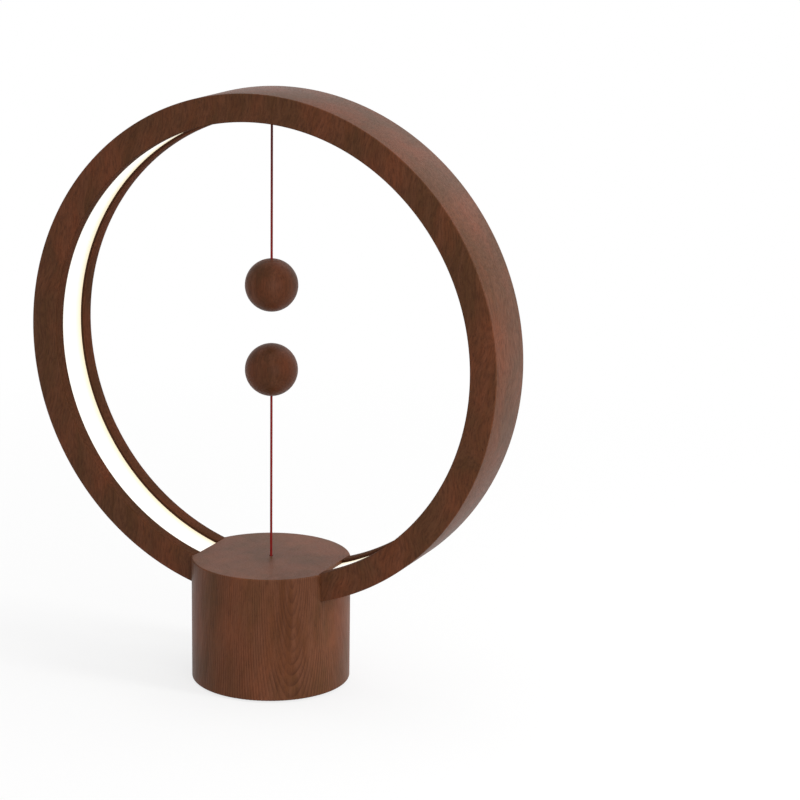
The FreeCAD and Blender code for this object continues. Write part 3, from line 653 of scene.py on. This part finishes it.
# balls: a turned sphere with the mouth of its plug pocket, and the plug with the cord's hole
ball = {
    "radius": 11.9 * mm,
    "pocket": 4.05 * mm,
    "pocketFloor": -9.3 * mm,
    "plug": 4.0 * mm,
    "plugBottom": 2.9 * mm,
    "hole": 0.7 * mm,
    "mouthRound": 0.12 * mm,
    "ballSteps": 60,
    "plugSteps": 12,
    "segments": 96,
    "sharpAngle": 50,
    "seamGap": 0.0005 * mm,
}


def circleRow(build, around, z, reachAt):
    row = []
    for i in range(around):
        angle = 2 * math.pi * i / around
        reach = reachAt(angle)
        row.append(build.verts.new((reach * math.cos(angle), reach * math.sin(angle), z)))
    return row


def bridgeRows(build, rows):
    for row, ahead in zip(rows, rows[1:]):
        for i in range(len(row)):
            j = (i + 1) % len(row)
            build.faces.new((row[i], row[j], ahead[j], ahead[i]))


def lathe(profile, centreZ, side):
    build = bmesh.new()
    rows = [circleRow(build, ball["segments"], centreZ + side * height, lambda angle: radius)
            for radius, height in profile]
    bridgeRows(build, rows + rows[:1])
    closeSeams(build, ball["seamGap"])
    return finishedMesh(build, "turned", ball["sharpAngle"])


def onSphere(angle):
    return ball["radius"] * math.cos(angle), ball["radius"] * math.sin(angle)


def ballProfile():
    pocket, rounding, steps = ball["pocket"], ball["mouthRound"], ball["ballSteps"]
    mouth = math.acos((pocket + rounding) / ball["radius"])
    points = [(0.0, -ball["radius"])]
    points += [onSphere(-math.pi / 2 + (mouth + math.pi / 2) * i / steps) for i in range(1, steps)]
    top = ball["radius"] * math.sin(mouth)
    points += [(pocket + rounding, top), (pocket + 0.3 * rounding, top - 0.1 * rounding),
               (pocket, top - rounding), (pocket, ball["pocketFloor"]), (0.0, ball["pocketFloor"])]
    return points


def plugProfile():
    plug, hole, rounding, steps = ball["plug"], ball["hole"], ball["mouthRound"], ball["plugSteps"]
    inner = math.acos((hole + rounding) / ball["radius"])
    outer = math.acos((plug - rounding) / ball["radius"])
    points = [(hole, ball["plugBottom"]), (plug, ball["plugBottom"]), (plug, onSphere(outer)[1] - rounding)]
    points += [onSphere(outer + (inner - outer) * i / steps) for i in range(steps + 1)]
    points.append((hole, onSphere(inner)[1] - rounding))
    return points


for which, side in (("upper", 1), ("lower", -1)):
    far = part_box(which + "_ball")[0].z if side > 0 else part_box(which + "_ball")[1].z
    centreZ = far + side * ball["radius"]
    newPiece(which + "BallWood", lathe(ballProfile(), centreZ, side), which + "_pendant", "ball_wood",
             [which + "_ball"])
    newPiece(which + "BallPlug", lathe(plugProfile(), centreZ, side), which + "_pendant", "plug_wood",
             [which + "_plug"])
print("balls turned")


# cords: a tube whose lobes twist round it as the yarns of a fine cord do
cord = {
    "radius": 0.55 * mm,
    "yarns": 5,
    "around": 30,
    "step": 0.28 * mm,
    "pitch": 4.2 * mm,
    "depth": 0.09,
    "sharpAngle": 60,
    "knotInset": 1.6 * mm,
    "foldReach": 2.5 * mm,
}


def twistedCord(name, low, high):
    length = high - low
    rings = max(8, int(length / cord["step"]))
    build = bmesh.new()
    rows = []
    for k in range(rings + 1):
        z = low + length * k / rings
        twist = 2 * math.pi * (z - low) / cord["pitch"]

        def reachAt(angle):
            lobe = abs(math.cos(cord["yarns"] * (angle - twist) / 2))
            return cord["radius"] * (1 - cord["depth"] * (1 - lobe))

        rows.append(circleRow(build, cord["around"], z, reachAt))
    bridgeRows(build, rows)
    build.faces.new(list(reversed(rows[0])))
    build.faces.new(rows[-1])
    return finishedMesh(build, name, cord["sharpAngle"])


lowerBend = centreOf("lower_cord_bend").z
upperBend = centreOf("upper_cord_bend").z
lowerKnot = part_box("lower_cord_end")[1].z - cord["knotInset"]
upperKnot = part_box("upper_cord")[0].z + cord["knotInset"]

upperPiece = newPiece("upperCord", twistedCord("upperCord", upperKnot, upperBend), "upper_pendant", "cord",
                      ["upper_cord"])

lowerPiece = addObject("lowerCord", twistedCord("lowerCord", lowerBend, lowerKnot))
wear(lowerPiece, "cord")
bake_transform(lowerPiece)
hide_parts("lower_cord_run", "lower_cord_end")

stubMesh = twistedCord("lowerCordStub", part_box("lower_cord_inner")[0].z, lowerBend)
newPiece("lowerCordStub", stubMesh, "puller", "cord", ["lower_cord_inner"])
print("cords laid")


# floor, backdrop, light and camera
floorLook = {
    "shade": 0.92,
    "bounce": 0.50,
    "roughness": 0.9,
    "gloss": 0.1,
    "whiteShare": 0.75,
    "nearWhite": 200.0 * mm,
    "farWhite": 600.0 * mm,
    "halfSide": 6.0,
    "level": -0.2 * mm,
}


# 1 for the rays that should meet a plain white studio
def seenRays(tree):
    path = addNode(tree, "ShaderNodeLightPath").outputs
    mirrored = math2(tree, "MAXIMUM", path["Is Glossy Ray"], path["Is Transmission Ray"])
    return math2(tree, "MAXIMUM", path["Is Camera Ray"], mirrored)


def stageMaterial(look):
    material, tree, shader = newMaterial("paleFloor", Roughness=look["roughness"],
                                         Specular_IOR_Level=look["gloss"])
    white = addNode(tree, "ShaderNodeEmission", {"Strength": 1.0})
    seen = seenRays(tree)
    tree.links.new(remap(tree, seen, 0.0, 1.0, look["bounce"], look["shade"]), shader.inputs["Base Color"])
    distance = vec2(tree, "LENGTH", objectVector(tree))
    share = remap(tree, distance, look["nearWhite"], look["farWhite"], look["whiteShare"], 1.0)
    blend = addNode(tree, "ShaderNodeMixShader", {
        0: math2(tree, "MULTIPLY", seen, share), 1: shader.outputs[0], 2: white.outputs[0]})
    # from below the floor is clear, so that the lamp's underside can be seen
    clear = addNode(tree, "ShaderNodeBsdfTransparent")
    facing = addNode(tree, "ShaderNodeNewGeometry").outputs
    below = addNode(tree, "ShaderNodeMixShader", {
        0: facing["Backfacing"], 1: blend.outputs[0], 2: clear.outputs[0]})
    tree.links.new(below.outputs[0], tree.nodes["Material Output"].inputs["Surface"])
    return material


floorMesh = bpy.data.meshes.new("floor")
corners = [(x * floorLook["halfSide"], y * floorLook["halfSide"], floorLook["level"])
           for x, y in ((-1, -1), (1, -1), (1, 1), (-1, 1))]
floorMesh.from_pydata(corners, [], [(0, 1, 2, 3)])
floor = addObject("floor", floorMesh)
floor.data.materials.append(stageMaterial(floorLook))

light = {
    "world": 0.62,
    "lamps": [
        # name, place, aim, width, height, watts
        ("overhead", (0.25, 0.25, 1.35), (0.0, 0.0, 0.15), 1.2, 1.2, 5.0),
        ("right", (1.4, 0.0, 0.60), (0.0, 0.0, 0.12), 0.28, 1.0, 11.5),
        ("front", (0.90, -0.95, 0.42), (0.06, 0.0, 0.12), 0.8, 0.8, 4.8),
        ("behind", (0.35, 1.35, 0.85), (0.0, 0.0, 0.20), 1.0, 0.8, 1.5),
    ],
}


# the world lights the lamp at its own strength and shows as plain white
def buildWorld(strength):
    world = bpy.data.worlds.new("studio")
    world.use_nodes = True
    tree = world.node_tree
    background = tree.nodes["Background"]
    background.inputs["Color"].default_value = (1, 1, 1, 1)
    tree.links.new(remap(tree, seenRays(tree), 0.0, 1.0, strength, 1.0), background.inputs["Strength"])
    bpy.context.scene.world = world


def aimMatrix(place, forward, up):
    right = forward.cross(up).normalized()
    matrix = Matrix((right, right.cross(forward), -forward)).transposed().to_4x4()
    matrix.translation = place
    return matrix


buildWorld(light["world"])
for name, place, aim, width, height, watts in light["lamps"]:
    data = bpy.data.lights.new(name, "AREA")
    data.shape = "RECTANGLE"
    data.size, data.size_y, data.energy = width, height, watts
    forward = (Vector(aim) - Vector(place)).normalized()
    addObject(name, data).matrix_world = aimMatrix(Vector(place), forward, Vector((0, 0, 1)))

# angles in degrees: azimuth and elevation place the camera, yaw, pitch and roll then turn it
view = {
    "target": (0.0, 0.0, 0.135),
    "azimuth": 27.02,
    "elevation": 13.9,
    "distance": 1.1747,
    "yaw": 2.816,
    "pitch": -0.203,
    "roll": 0.106,
    "lens": 117.65,
    "sensor": 36.0,
    "clipStart": 0.01,
}


def placeCamera(v):
    azimuth, elevation, yaw, pitch, roll = (
        math.radians(v[k]) for k in ("azimuth", "elevation", "yaw", "pitch", "roll"))
    outwards = Vector((math.sin(azimuth) * math.cos(elevation), -math.cos(azimuth) * math.cos(elevation),
                       math.sin(elevation)))
    forward = -outwards
    right = forward.cross(Vector((0, 0, 1))).normalized()
    up = right.cross(forward)
    swung = forward * math.cos(yaw) + right * math.sin(yaw)
    right = right * math.cos(yaw) - forward * math.sin(yaw)
    tipped = swung * math.cos(pitch) + up * math.sin(pitch)
    up = up * math.cos(pitch) - swung * math.sin(pitch)
    up = up * math.cos(roll) - right * math.sin(roll)
    data = bpy.data.cameras.new("camera")
    data.lens, data.sensor_width, data.clip_start = v["lens"], v["sensor"], v["clipStart"]
    obj = addObject("camera", data)
    obj.matrix_world = aimMatrix(Vector(v["target"]) + outwards * v["distance"], tipped, up)
    bpy.context.scene.camera = obj


placeCamera(view)
bpy.context.scene.view_settings.view_transform = "Standard"
print("stage set")
